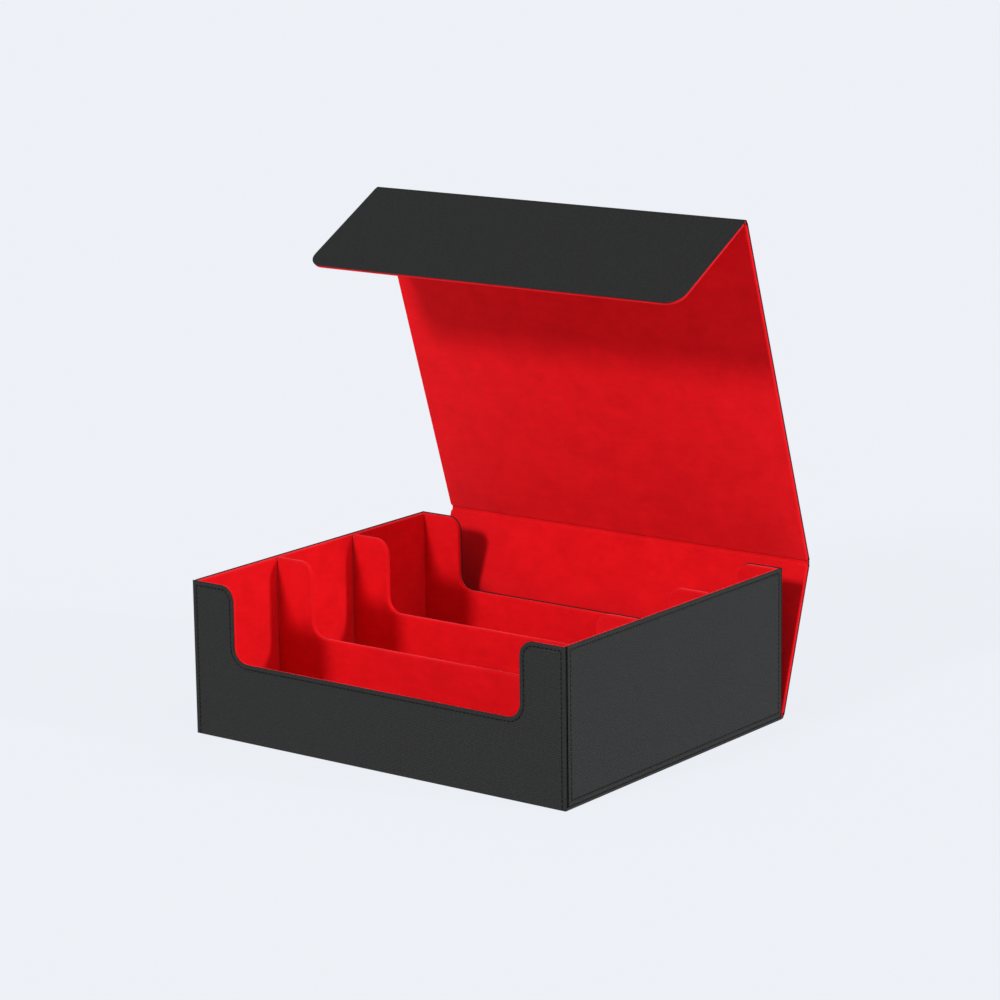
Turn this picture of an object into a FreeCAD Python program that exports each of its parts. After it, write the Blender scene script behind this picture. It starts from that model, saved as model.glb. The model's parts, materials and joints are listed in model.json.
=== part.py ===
"""Three-row card deck box with a hinged wrap-round cover and a magnetic front flap.

The tray is a carcass of greyboard walls and two fixed dividers on a floor. Suede lines it and folds
over every rim, and leather skins its outside. The cover is four stiff panels joined by creases: the
base under the tray, the back panel, the lid and the flap. The tray's front and back walls and both
dividers are cut down in the middle, which leaves a tab at each side.

Frame: millimetres, origin at the middle of the underside, +X along the rows, -Y to the front, +Z up.
The cover stands open at the angles given in the sheet.
"""
import FreeCAD, Part
import os
from dataclasses import dataclass

import Sketcher

SIZES = [
    ("row_length", 282.0, "clear length of a card row"),
    ("row_depth", 73.2, "clear front-to-back depth of one row"),
    ("row_height", 94.4, "clear height of a row, from floor lining to rim"),
    ("wall_board", 2.4, "greyboard in the tray's walls and floor"),
    ("divider_board", 2.4, "greyboard in the two dividers"),
    ("lining", 0.8, "suede in the tray"),
    ("leather", 0.8, "leather on the outside"),
    ("tab_width", 33.0, "tab beside a cut-out, measured from the tray's outer side"),
    ("cut_height", 51.0, "underside to the lower edge of a cut-out"),
    ("tab_radius", 10.0, "rounding at the top of a tab"),
    ("cut_radius", 10.0, "rounding at the bottom of a cut-out"),
    ("panel_board", 1.6, "greyboard in the cover's panels"),
    ("panel_lining", 0.6, "suede on the cover's panels"),
    ("cover_inset", 0.5, "tray's side to the side edge of the cover's panels"),
    ("cover_gap", 0.5, "air between the closed back panel and the tray's back"),
    ("flap_gap", 2.0, "air between the closed flap and the tray's front, room to swing past the rim"),
    ("lid_gap", 0.4, "air between the closed lid and the rims"),
    ("flap_clear", 17.4, "underside to the closed flap's free edge"),
    ("flap_radius", 11.0, "rounding of the flap's free corners"),
    ("bead_radius", 1.3, "crease bead, round about the crease's axis"),
    ("leather_setback", 1.7, "crease axis to the end of a panel's leather"),
    ("board_setback", 2.4, "crease axis to the end of a panel's board"),
    ("lining_setback", 3.2, "crease axis to the end of a panel's lining"),
    ("rear_lean", 17.35, "degrees that the back panel leans back from upright"),
    ("lid_fold", 35.4, "degrees that the lid is folded from in line with the back panel"),
    ("flap_fold", 101.1, "degrees that the flap is folded from in line with the lid"),
    ("seam_inset", 3.0, "edge of the leather to the outside of the stitched line"),
    ("thread_width", 0.5, "width of the stitched line"),
    ("thread_height", 0.15, "how far the thread stands proud of the leather"),
    ("magnet_diameter", 12.0, "disc magnets"),
    ("magnet_thickness", 1.2, "disc magnets"),
    ("magnet_spacing", 190.0, "distance between the left and right magnets"),
    ("magnet_edge", 16.0, "flap's free edge to the magnets' centres"),
]
ROWS = 3

# Lengths worked out from the sheet, as expressions that every feature shares.
WALL = "(Sizes.leather + Sizes.wall_board + Sizes.lining)"
DIVIDER = "(Sizes.divider_board + 2 * Sizes.lining)"
PANEL = "(Sizes.leather + Sizes.panel_board + Sizes.panel_lining)"
BASE_TOP = "(Sizes.leather + Sizes.panel_board)"
FLOOR_TOP = f"({BASE_TOP} + Sizes.wall_board)"
ROW_FLOOR = f"({FLOOR_TOP} + Sizes.lining)"
RIM = f"({ROW_FLOOR} + Sizes.row_height)"
ROOM_X = "(Sizes.row_length / 2)"
ROOM_Y = f"(({ROWS} * Sizes.row_depth + {ROWS - 1} * {DIVIDER}) / 2)"
SIDE_X = f"({ROOM_X} + {WALL})"
SIDE_Y = f"({ROOM_Y} + {WALL})"
BOARD_X = f"({SIDE_X} - Sizes.leather)"
BOARD_Y = f"({SIDE_Y} - Sizes.leather)"
INNER_X = f"({ROOM_X} + Sizes.lining)"
INNER_Y = f"({ROOM_Y} + Sizes.lining)"
COVER_X = f"({SIDE_X} - Sizes.cover_inset)"

# The cover's three crease axes, each at mid thickness, and each panel's direction from +Y towards +Z.
HINGE_Y = f"({SIDE_Y} + Sizes.cover_gap + {PANEL} / 2)"
HINGE_Z = f"({PANEL} / 2)"
BACK_LENGTH = f"({RIM} + Sizes.lid_gap)"
LID_LENGTH = f"({HINGE_Y} + {SIDE_Y} + Sizes.flap_gap + {PANEL} / 2)"
FLAP_LENGTH = f"({RIM} + Sizes.lid_gap + {PANEL} / 2 - Sizes.flap_clear)"
BACK_ANGLE = "(90 - Sizes.rear_lean)"
LID_ANGLE = f"({BACK_ANGLE} + Sizes.lid_fold)"
FLAP_ANGLE = f"({LID_ANGLE} + Sizes.flap_fold)"
LID_Y = f"({HINGE_Y} + {BACK_LENGTH} * cos({BACK_ANGLE}))"
LID_Z = f"({HINGE_Z} + {BACK_LENGTH} * sin({BACK_ANGLE}))"
FLAP_Y = f"({LID_Y} + {LID_LENGTH} * cos({LID_ANGLE}))"
FLAP_Z = f"({LID_Z} + {LID_LENGTH} * sin({LID_ANGLE}))"
MAGNET_Z = "(Sizes.flap_clear + Sizes.magnet_edge)"

# Turns from a flat sheet's own frame, where its outline is in X and Y and its thickness in Z.
AXIS_X = FreeCAD.Vector(1, 0, 0)
AXIS_Y = FreeCAD.Vector(0, 1, 0)
AXIS_Z = FreeCAD.Vector(0, 0, 1)
FACING_UP = FreeCAD.Rotation()
FACING_FRONT = FreeCAD.Rotation(AXIS_X, AXIS_Z, -AXIS_Y, "ZXY")
FACING_BACK = FreeCAD.Rotation(-AXIS_X, AXIS_Z, AXIS_Y, "ZXY")
FACING_LEFT = FreeCAD.Rotation(-AXIS_Y, AXIS_Z, -AXIS_X, "ZXY")
FACING_RIGHT = FreeCAD.Rotation(AXIS_Y, AXIS_Z, AXIS_X, "ZXY")

doc = FreeCAD.newDocument("CardDeckBox")
sheet = doc.addObject("Spreadsheet::Sheet", "Sizes")


def fill_sheet():
    """Write every driving size into the sheet with its alias and a note."""
    for row, (alias, size, note) in enumerate(SIZES, start=1):
        sheet.set(f"A{row}", alias)
        sheet.set(f"B{row}", str(size))
        sheet.set(f"C{row}", note)
        sheet.setAlias(f"B{row}", alias)
    doc.recompute()


def value(expression):
    """Return an expression's number in millimetres or degrees."""
    return float(sheet.evalExpression(expression))


@dataclass
class Place:
    """Where a flat sheet's own frame stands: a base point as expressions, and a turn."""

    turn: FreeCAD.Rotation
    x: str = None
    y: str = None
    z: str = None
    tilt: str = None

    def apply(self, body):
        """Give the body this placement, bound to the sheet."""
        body.Placement = FreeCAD.Placement(FreeCAD.Vector(), self.turn)
        for axis, expression in (("x", self.x), ("y", self.y), ("z", self.z)):
            if expression:
                body.setExpression(f"Placement.Base.{axis}", expression)
        if self.tilt:
            body.Placement = FreeCAD.Placement(FreeCAD.Vector(), FreeCAD.Rotation(AXIS_X, 1))
            body.setExpression("Placement.Rotation.Angle", self.tilt)


# ---------------------------------------------------------------- outlines
# An outline is a list of corners (x, y, radius), anticlockwise, starting with a level edge.


def rectangle(half_x, low, high, far_radius=None):
    """Return a rectangle about the Y axis, with rounded corners on its far side if asked."""
    return [
        (f"-{half_x}", low, None),
        (half_x, low, None),
        (half_x, high, far_radius),
        (f"-{half_x}", high, far_radius),
    ]


def block(x_low, x_high, y_low, y_high):
    """Return a plain rectangle between four sides."""
    return [(x_low, y_low, None), (x_high, y_low, None), (x_high, y_high, None), (x_low, y_high, None)]


def cut_down(half_x, low, inset="0"):
    """Return a wall that is cut down in the middle, set in from its rim and its cut-out by inset."""
    rim = f"({RIM} - {inset})"
    tab = f"({SIDE_X} - Sizes.tab_width + {inset})"
    cut = f"(Sizes.cut_height - {inset})"
    round_out = f"(Sizes.tab_radius - {inset})"
    round_in = f"(Sizes.cut_radius + {inset})"
    return [
        (f"-{half_x}", low, None),
        (half_x, low, None),
        (half_x, rim, None),
        (tab, rim, round_out),
        (tab, cut, round_in),
        (f"-{tab}", cut, round_in),
        (f"-{tab}", rim, round_out),
        (f"-{half_x}", rim, None),
    ]


def bind(sketch, constraint, expression):
    """Add a dimension to the sketch and bind it to the expression."""
    index = sketch.addConstraint(constraint)
    sketch.setExpression(f"Constraints[{index}]", expression)


def draw_outline(sketch, corners):
    """Draw the outline as level and upright lines with tangent arcs, fully dimensioned."""
    count = len(corners)
    points = [FreeCAD.Vector(value(x), value(y), 0) for x, y, _ in corners]
    radii = [value(radius) if radius else 0.0 for _, _, radius in corners]
    along = [(points[(i + 1) % count] - points[i]).normalize() for i in range(count)]
    first = sketch.GeometryCount
    for i in range(count):
        start = points[i] + along[i] * radii[i]
        end = points[(i + 1) % count] - along[i] * radii[(i + 1) % count]
        sketch.addGeometry(Part.LineSegment(start, end))
        level = i % 2 == 0
        sketch.addConstraint(Sketcher.Constraint("Horizontal" if level else "Vertical", first + i))
        kind, at = ("DistanceY", points[i].y) if level else ("DistanceX", points[i].x)
        bind(sketch, Sketcher.Constraint(kind, first + i, 1, at), corners[i][1 if level else 0])
    for i in range(count):
        line_in, line_out = first + (i - 1) % count, first + i
        if not radii[i]:
            sketch.addConstraint(Sketcher.Constraint("Coincident", line_in, 2, line_out, 1))
            continue
        came, goes = along[i - 1], along[i]
        centre = points[i] - came * radii[i] + goes * radii[i]
        middle = centre + (came - goes).normalize() * radii[i]
        start, end = points[i] - came * radii[i], points[i] + goes * radii[i]
        arc = sketch.addGeometry(Part.Arc(start, middle, end))
        turns_left = came.cross(goes).z > 0
        arc_in, arc_out = (1, 2) if turns_left else (2, 1)
        sketch.addConstraint(Sketcher.Constraint("Tangent", line_in, 2, arc, arc_in))
        sketch.addConstraint(Sketcher.Constraint("Tangent", line_out, 1, arc, arc_out))
        bind(sketch, Sketcher.Constraint("Radius", arc, radii[i]), corners[i][2])


# ---------------------------------------------------------------- features


def new_body(label, place):
    """Return an empty body with this label and placement."""
    body = doc.addObject("PartDesign::Body", label)
    body.Label = label
    place.apply(body)
    return body


def new_sketch(body, plane, offset=None):
    """Return a sketch on one of the body's own origin planes, raised by offset."""
    support = next(item for item in body.Origin.OriginFeatures if item.Role == plane)
    sketch = body.newObject("Sketcher::SketchObject", f"{body.Label}_outline")
    sketch.AttachmentSupport = (support, [""])
    sketch.MapMode = "FlatFace"
    if offset:
        sketch.setExpression("AttachmentOffset.Base.z", offset)
    return sketch


def pad(body, outlines, offset, thickness):
    """Raise material inside the outlines; a second outline inside the first leaves a hole."""
    sketch = new_sketch(body, "XY_Plane", offset)
    for outline in outlines:
        draw_outline(sketch, outline)
    feature = body.newObject("PartDesign::Pad", f"{body.Label}_pad")
    feature.Profile = sketch
    feature.setExpression("Length", thickness)
    doc.recompute()


def pocket(body, sketch, depth, upwards):
    """Cut the sketch out of the body, and make sure that it did cut."""
    before = body.Shape.Volume
    feature = body.newObject("PartDesign::Pocket", f"{body.Label}_pocket")
    feature.Profile = sketch
    feature.Reversed = upwards
    feature.setExpression("Length", depth)
    doc.recompute()
    if body.Shape.Volume > before - 1.0:
        raise RuntimeError(f"{feature.Label} cuts nothing")


def pocket_outline(body, outline, offset, depth):
    """Cut an outline out of the body, upwards from offset."""
    sketch = new_sketch(body, "XY_Plane", offset)
    draw_outline(sketch, outline)
    pocket(body, sketch, depth, upwards=True)


def draw_magnet_circles(sketch, y):
    """Draw the two circles of a magnet pair."""
    for side in (-1, 1):
        centre = FreeCAD.Vector(side * value("Sizes.magnet_spacing / 2"), value(y), 0)
        radius = value("Sizes.magnet_diameter / 2")
        circle = sketch.addGeometry(Part.Circle(centre, AXIS_Z, radius))
        across = Sketcher.Constraint("DistanceX", circle, 3, centre.x)
        bind(sketch, across, f"{side} * Sizes.magnet_spacing / 2")
        bind(sketch, Sketcher.Constraint("DistanceY", circle, 3, centre.y), y)
        bind(sketch, Sketcher.Constraint("Radius", circle, radius), "Sizes.magnet_diameter / 2")


def pocket_magnets(body, y, face):
    """Sink two magnet seats into the board from the face at this height."""
    sketch = new_sketch(body, "XY_Plane", face)
    draw_magnet_circles(sketch, y)
    pocket(body, sketch, "Sizes.magnet_thickness", upwards=False)


def make_magnets(label, place, y, face):
    """Make the two discs that fill the seats below the face."""
    body = doc.addObject("Part::Feature", label)
    body.Label = label
    thickness = value("Sizes.magnet_thickness")
    discs = []
    for side in (-1, 1):
        foot = FreeCAD.Vector(side * value("Sizes.magnet_spacing / 2"), value(y), value(face) - thickness)
        discs.append(Part.makeCylinder(value("Sizes.magnet_diameter / 2"), thickness, foot))
    body.Shape = Part.makeCompound(discs)
    place.apply(body)


def make_sheet(label, place, outline, offset, thickness):
    """Make a flat sheet of one outline."""
    body = new_body(label, place)
    pad(body, [outline], offset, thickness)
    return body


def make_thread(label, place, outer, inner):
    """Make a stitched line that stands on a wall's leather, inside one outline and outside another."""
    body = new_body(label, place)
    pad(body, [outer], WALL, "Sizes.thread_height")
    pocket_outline(body, inner, WALL, "Sizes.thread_height")


# ---------------------------------------------------------------- tray

THREAD_OUT = "Sizes.seam_inset"
THREAD_IN = "(Sizes.seam_inset + Sizes.thread_width)"
LEATHER_FOOT = "Sizes.leather"


def make_base():
    """Make the cover's base panel, which the tray stands on, and the tray's floor."""
    place = Place(FACING_UP)
    rear_leather = f"({HINGE_Y} - Sizes.leather_setback)"
    rear_board = f"({HINGE_Y} - Sizes.board_setback)"
    board = block(f"-{BOARD_X}", BOARD_X, f"-{BOARD_Y}", rear_board)
    make_sheet("base_board", place, board, LEATHER_FOOT, "Sizes.panel_board")

    under = block(f"-{SIDE_X}", SIDE_X, f"-{SIDE_Y}", rear_leather)
    edges = block(f"-{SIDE_X}", SIDE_X, f"-{BOARD_Y}", rear_leather)
    inside = block(f"-{BOARD_X}", BOARD_X, f"-{SIDE_Y}", HINGE_Y)
    leather = make_sheet("base_leather", place, under, None, "Sizes.leather")
    pad(leather, [edges], "Sizes.leather", "Sizes.panel_board")
    pocket_outline(leather, inside, "Sizes.leather", "Sizes.panel_board")

    floor = rectangle(INNER_X, f"-{INNER_Y}", INNER_Y)
    lining = rectangle(ROOM_X, f"-{ROOM_Y}", ROOM_Y)
    make_sheet("floor_board", place, floor, BASE_TOP, "Sizes.wall_board")
    make_sheet("floor_lining", place, lining, FLOOR_TOP, "Sizes.lining")


def make_end_wall(name, place, leather_foot, stitched):
    """Make the front or back wall: a cut-down board, its suede with the rim, and its leather.

    A stitched wall's line runs down its ends and round its top, and is open at the foot.
    """
    outer_board = "(Sizes.lining + Sizes.wall_board)"
    board_outline = cut_down(BOARD_X, BASE_TOP, "Sizes.lining")
    board = make_sheet(f"{name}_board", place, board_outline, "Sizes.lining", "Sizes.wall_board")

    lining = make_sheet(f"{name}_lining", place, cut_down(INNER_X, FLOOR_TOP), None, "Sizes.lining")
    pad(lining, [cut_down(BOARD_X, FLOOR_TOP)], "Sizes.lining", "Sizes.wall_board")
    pocket_outline(lining, board_outline, "Sizes.lining", "Sizes.wall_board")

    make_sheet(f"{name}_leather", place, cut_down(SIDE_X, leather_foot), outer_board, "Sizes.leather")
    if stitched:
        outer = cut_down(f"({SIDE_X} - {THREAD_OUT})", leather_foot, THREAD_OUT)
        inner = cut_down(f"({SIDE_X} - {THREAD_IN})", f"({leather_foot} - {WALL})", THREAD_IN)
        make_thread(f"{name}_thread", place, outer, inner)
    return board


def make_side_wall(name, place):
    """Make a side wall: a plain board, its suede with the rim, its leather and its stitching."""
    outer_board = "(Sizes.lining + Sizes.wall_board)"
    board_outline = rectangle(INNER_Y, BASE_TOP, f"({RIM} - Sizes.lining)")
    make_sheet(f"{name}_board", place, board_outline, "Sizes.lining", "Sizes.wall_board")

    lining = make_sheet(f"{name}_lining", place, rectangle(ROOM_Y, FLOOR_TOP, RIM), None, "Sizes.lining")
    pad(lining, [rectangle(INNER_Y, FLOOR_TOP, RIM)], "Sizes.lining", "Sizes.wall_board")
    pocket_outline(lining, board_outline, "Sizes.lining", "Sizes.wall_board")

    make_sheet(f"{name}_leather", place, rectangle(BOARD_Y, BASE_TOP, RIM), outer_board, "Sizes.leather")
    rings = [
        rectangle(f"({BOARD_Y} - {inset})", f"({BASE_TOP} + {inset})", f"({RIM} - {inset})")
        for inset in (THREAD_OUT, THREAD_IN)
    ]
    make_thread(f"{name}_thread", place, *rings)


def make_divider(name, index):
    """Make a divider: a cut-down board in a folded suede sleeve, index rows from the front."""
    front_face = f"({index} * (Sizes.row_depth + {DIVIDER}) - {ROOM_Y})"
    place = Place(FACING_FRONT, y=front_face)
    board_outline = cut_down(ROOM_X, ROW_FLOOR, "Sizes.lining")
    make_sheet(f"{name}_board", place, board_outline, "Sizes.lining", "Sizes.divider_board")

    lining = make_sheet(f"{name}_lining", place, cut_down(ROOM_X, ROW_FLOOR), None, DIVIDER)
    pocket_outline(lining, board_outline, "Sizes.lining", "Sizes.divider_board")


def make_tray():
    """Make the tray on its base, with its dividers and the magnets in its front wall."""
    make_base()
    front = Place(FACING_FRONT, y=f"-{ROOM_Y}")
    board_face = "(Sizes.lining + Sizes.wall_board)"
    front_board = make_end_wall("front_wall", front, LEATHER_FOOT, stitched=True)
    pocket_magnets(front_board, MAGNET_Z, board_face)
    make_magnets("front_wall_magnets", front, MAGNET_Z, board_face)

    make_end_wall("back_wall", Place(FACING_BACK, y=ROOM_Y), BASE_TOP, stitched=False)
    make_side_wall("left_wall", Place(FACING_LEFT, x=f"-{ROOM_X}"))
    make_side_wall("right_wall", Place(FACING_RIGHT, x=ROOM_X))
    make_divider("front_divider", 1)
    make_divider("rear_divider", 2)


# ---------------------------------------------------------------- cover

OUTER_FACE = f"(-{PANEL} / 2)"
BOARD_FACE = f"(Sizes.leather - {PANEL} / 2)"


@dataclass
class Panel:
    """A stiff cover panel, lying along its own Y from its crease axis, with its lining upwards."""

    name: str
    y: str
    z: str
    angle: str
    length: str
    has_far_crease: bool

    def place(self):
        """Return the placement that stands the panel at its angle."""
        return Place(FACING_UP, y=self.y, z=self.z, tilt=self.angle)

    def outline(self, setback, edge="0"):
        """Return the outline at a distance from the crease axes and at another from the free edges."""
        half = f"({COVER_X} - {edge})"
        if self.has_far_crease:
            return rectangle(half, setback, f"({self.length} - {setback})")
        return rectangle(half, setback, f"({self.length} - {edge})", f"(Sizes.flap_radius - {edge})")

    def make(self):
        """Make the panel's board, lining and leather, and return the board."""
        place = self.place()
        board_outline = self.outline("Sizes.board_setback", edge="Sizes.panel_lining")
        board = make_sheet(f"{self.name}_board", place, board_outline, BOARD_FACE, "Sizes.panel_board")

        wrap = "(Sizes.panel_board + Sizes.panel_lining)"
        lining_outline = self.outline("Sizes.lining_setback")
        lining = make_sheet(f"{self.name}_lining", place, lining_outline, BOARD_FACE, wrap)
        pocket_outline(lining, board_outline, BOARD_FACE, "Sizes.panel_board")

        leather_outline = self.outline("Sizes.leather_setback")
        make_sheet(f"{self.name}_leather", place, leather_outline, OUTER_FACE, "Sizes.leather")
        return board


def make_bead(label, place, lining_side):
    """Make half of a round crease bead: the lining's half faces up, the leather's half down."""
    body = new_body(label, place)
    sketch = new_sketch(body, "YZ_Plane")
    radius = value("Sizes.bead_radius")
    top = radius if lining_side else -radius
    ends = [FreeCAD.Vector(radius, 0, 0), FreeCAD.Vector(-radius, 0, 0)]
    arc = sketch.addGeometry(Part.Arc(ends[0], FreeCAD.Vector(0, top, 0), ends[1]))
    flat = sketch.addGeometry(Part.LineSegment(ends[1], ends[0]))
    first, last = (1, 2) if lining_side else (2, 1)
    sketch.addConstraint(Sketcher.Constraint("Coincident", arc, 3, -1, 1))
    sketch.addConstraint(Sketcher.Constraint("Coincident", arc, last, flat, 1))
    sketch.addConstraint(Sketcher.Constraint("Coincident", arc, first, flat, 2))
    sketch.addConstraint(Sketcher.Constraint("PointOnObject", flat, 1, -1))
    sketch.addConstraint(Sketcher.Constraint("PointOnObject", flat, 2, -1))
    bind(sketch, Sketcher.Constraint("Radius", arc, radius), "Sizes.bead_radius")
    feature = body.newObject("PartDesign::Pad", f"{label}_pad")
    feature.Profile = sketch
    feature.setExpression("Length", f"(2 * {COVER_X})")


def make_crease(name, y, z, angle):
    """Make a crease's bead from its leather and lining halves, turned to the middle of the fold."""
    place = Place(FACING_UP, x=f"-{COVER_X}", y=y, z=z, tilt=angle)
    make_bead(f"{name}_crease_leather", place, lining_side=False)
    make_bead(f"{name}_crease_lining", place, lining_side=True)


def make_cover():
    """Make the back panel, the lid and the flap, with the creases between them."""
    Panel("back_panel", HINGE_Y, HINGE_Z, BACK_ANGLE, BACK_LENGTH, has_far_crease=True).make()
    Panel("lid", LID_Y, LID_Z, LID_ANGLE, LID_LENGTH, has_far_crease=True).make()
    flap = Panel("flap", FLAP_Y, FLAP_Z, FLAP_ANGLE, FLAP_LENGTH, has_far_crease=False)
    flap_board = flap.make()

    magnet_y = f"({FLAP_LENGTH} - Sizes.magnet_edge)"
    board_face = f"({BOARD_FACE} + Sizes.panel_board)"
    pocket_magnets(flap_board, magnet_y, board_face)
    make_magnets("flap_magnets", flap.place(), magnet_y, board_face)

    make_crease("rear", HINGE_Y, HINGE_Z, f"({BACK_ANGLE} / 2)")
    make_crease("lid", LID_Y, LID_Z, f"(({BACK_ANGLE} + {LID_ANGLE}) / 2)")
    make_crease("flap", FLAP_Y, FLAP_Z, f"(({LID_ANGLE} + {FLAP_ANGLE}) / 2)")


# ---------------------------------------------------------------- checks and files


def sub_parts():
    """Return every sub-part: the bodies, and the features that stand outside any body."""
    bodies = doc.findObjects("PartDesign::Body")
    loose = [item for item in doc.Objects if item.TypeId == "Part::Feature"]
    return bodies + loose


def check():
    """Stop if any feature failed or any sub-part has no sound solid."""
    failed = [item.Label for item in doc.Objects if {"Invalid", "Error"} & set(item.State)]
    if failed:
        raise RuntimeError(f"failed features: {failed}")
    for part in sub_parts():
        if part.Shape.isNull() or not part.Shape.isValid() or not part.Shape.Solids:
            raise RuntimeError(f"{part.Label} has no sound solid")


def main():
    """Build the box and write one STEP file for each sub-part."""
    fill_sheet()
    make_tray()
    make_cover()
    doc.recompute()
    check()
    os.makedirs("parts", exist_ok=True)
    for part in sub_parts():
        part.Shape.exportStep(f"parts/{part.Label}.step")
    for name, y, z in (("rear", HINGE_Y, HINGE_Z), ("lid", LID_Y, LID_Z), ("flap", FLAP_Y, FLAP_Z)):
        print(f"{name} crease axis at y {value(y):.3f}, z {value(z):.3f}")
    tray = (2 * value(SIDE_X), 2 * value(SIDE_Y), value(RIM))
    print(len(sub_parts()), "sub-parts; tray", " x ".join(f"{length:.1f}" for length in tray))


main()
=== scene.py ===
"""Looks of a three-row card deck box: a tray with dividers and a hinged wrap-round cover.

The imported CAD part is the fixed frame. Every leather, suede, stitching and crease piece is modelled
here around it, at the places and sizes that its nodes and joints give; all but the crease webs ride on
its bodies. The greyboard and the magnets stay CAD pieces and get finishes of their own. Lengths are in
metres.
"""

import json
import logging
import math
from dataclasses import dataclass, field, replace
from enum import Enum
from typing import Callable, Iterable, Optional

import bmesh
import bpy
from mathutils import Matrix, Vector


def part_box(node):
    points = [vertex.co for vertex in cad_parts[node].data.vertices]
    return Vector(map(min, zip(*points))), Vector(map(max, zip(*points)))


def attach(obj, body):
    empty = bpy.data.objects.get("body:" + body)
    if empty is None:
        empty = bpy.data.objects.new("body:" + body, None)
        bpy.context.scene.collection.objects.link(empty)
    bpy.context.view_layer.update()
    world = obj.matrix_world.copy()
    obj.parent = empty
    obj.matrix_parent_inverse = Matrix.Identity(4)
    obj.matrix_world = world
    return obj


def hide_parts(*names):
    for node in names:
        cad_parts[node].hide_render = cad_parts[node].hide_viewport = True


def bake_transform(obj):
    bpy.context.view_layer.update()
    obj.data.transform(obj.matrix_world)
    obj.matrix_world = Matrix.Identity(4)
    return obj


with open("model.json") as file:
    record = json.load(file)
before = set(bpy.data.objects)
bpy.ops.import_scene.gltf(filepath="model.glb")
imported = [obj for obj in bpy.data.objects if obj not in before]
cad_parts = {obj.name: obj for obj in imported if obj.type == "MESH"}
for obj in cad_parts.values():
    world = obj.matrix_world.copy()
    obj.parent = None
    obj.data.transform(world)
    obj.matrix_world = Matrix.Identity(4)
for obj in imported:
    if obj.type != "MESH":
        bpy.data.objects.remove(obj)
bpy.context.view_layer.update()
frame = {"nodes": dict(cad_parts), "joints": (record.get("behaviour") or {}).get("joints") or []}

logging.basicConfig(level=logging.INFO, format="%(message)s")
log = logging.getLogger("card deck box")

MM = 0.001
TOUCH = 0.05 * MM
SIDE_ON = 0.5  # a normal with less Z than this belongs to an edge of a flat sheet
GRAIN_MAP = "grain"
PAINTED_SHADE = "painted_shade"
UP = Vector((0.0, 0.0, 1.0))
RIGHT = Vector((1.0, 0.0, 0.0))


class Element(Enum):
    """What edit mode selects."""

    VERTEX = "VERT"
    EDGE = "EDGE"
    FACE = "FACE"


# ---------------------------------------------------------------- modelling by hand


def deselect() -> None:
    """Leave edit mode and deselect every object."""
    if bpy.context.mode != "OBJECT":
        bpy.ops.object.mode_set(mode="OBJECT")
    bpy.ops.object.select_all(action="DESELECT")


def take(piece: bpy.types.Object) -> None:
    """Make one object the only selected and active one."""
    deselect()
    piece.select_set(True)
    bpy.context.view_layer.objects.active = piece


def edit(piece: bpy.types.Object) -> None:
    """Enter edit mode on one object with all of it selected."""
    take(piece)
    bpy.ops.object.mode_set(mode="EDIT")
    bpy.ops.mesh.select_all(action="SELECT")


def pick(kind: Element, test: Callable[[object], bool]) -> int:
    """Select in edit mode only what passes a test.

    Args:
        kind: Whether vertices, edges or faces are selected.
        test: Says for one bmesh element whether it is selected.

    Returns:
        How many were selected.
    """
    bpy.ops.mesh.select_mode(type=kind.value)
    bpy.ops.mesh.select_all(action="DESELECT")
    mesh = bmesh.from_edit_mesh(bpy.context.edit_object.data)
    pools = {Element.VERTEX: mesh.verts, Element.EDGE: mesh.edges, Element.FACE: mesh.faces}
    chosen = [item for item in pools[kind] if test(item)]
    for item in chosen:
        item.select_set(True)
    mesh.select_flush_mode()
    bmesh.update_edit_mesh(bpy.context.edit_object.data)
    return len(chosen)


def lift(height: float) -> None:
    """Extrude the selected face along local Z."""
    bpy.ops.mesh.extrude_region_move(TRANSFORM_OT_translate={"value": (0.0, 0.0, height)})


def face_out() -> None:
    """Turn every face of the edited closed shell outwards."""
    bpy.ops.mesh.select_all(action="SELECT")
    bpy.ops.mesh.normals_make_consistent(inside=False)


def round_edges(radius: float, segments: int, test: Callable[[bmesh.types.BMEdge], bool]) -> None:
    """Round the edges that pass a test in edit mode."""
    if pick(Element.EDGE, test):
        bpy.ops.mesh.bevel(offset=radius, segments=segments, affect="EDGES", clamp_overlap=False)


def finish_mesh(piece: bpy.types.Object, place: Matrix, smooth_degrees: float = 50.0) -> None:
    """Lay the grain map on a piece, smooth it, and put its place into its mesh.

    Args:
        piece: The piece, modelled flat in its own frame.
        place: Where that frame stands.
        smooth_degrees: Edges flatter than this are shaded smooth.
    """
    edit(piece)
    bpy.ops.uv.cube_project(cube_size=1.0, correct_aspect=False)
    piece.data.uv_layers.active.name = GRAIN_MAP
    take(piece)
    bpy.ops.object.shade_smooth_by_angle(angle=math.radians(smooth_degrees))
    piece.matrix_world = place
    bpy.ops.object.transform_apply(location=True, rotation=True, scale=True)


def mark_painted_shade(piece: bpy.types.Object, test: Callable[[Vector, Vector], bool]) -> None:
    """Note on a piece's faces which of them get painted shade: the leather is painted black there, in seams,
    slits and on edges.

    Args:
        piece: The piece, before its place is put into its mesh.
        test: Says it from a face's centre and normal.
    """
    take(piece)
    marks = piece.data.attributes.new(PAINTED_SHADE, "FLOAT", "FACE")
    for side, mark in zip(piece.data.polygons, marks.data):
        mark.value = 1.0 if test(side.center, side.normal) else 0.0


def stand(origin: Vector, along: Vector, outward: Vector) -> Matrix:
    """Return a flat sheet's frame: its Y runs along, and its Z points outward."""
    across = along.cross(outward)
    turn = Matrix((across, along, outward)).transposed().to_4x4()
    return Matrix.Translation(origin) @ turn


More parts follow.
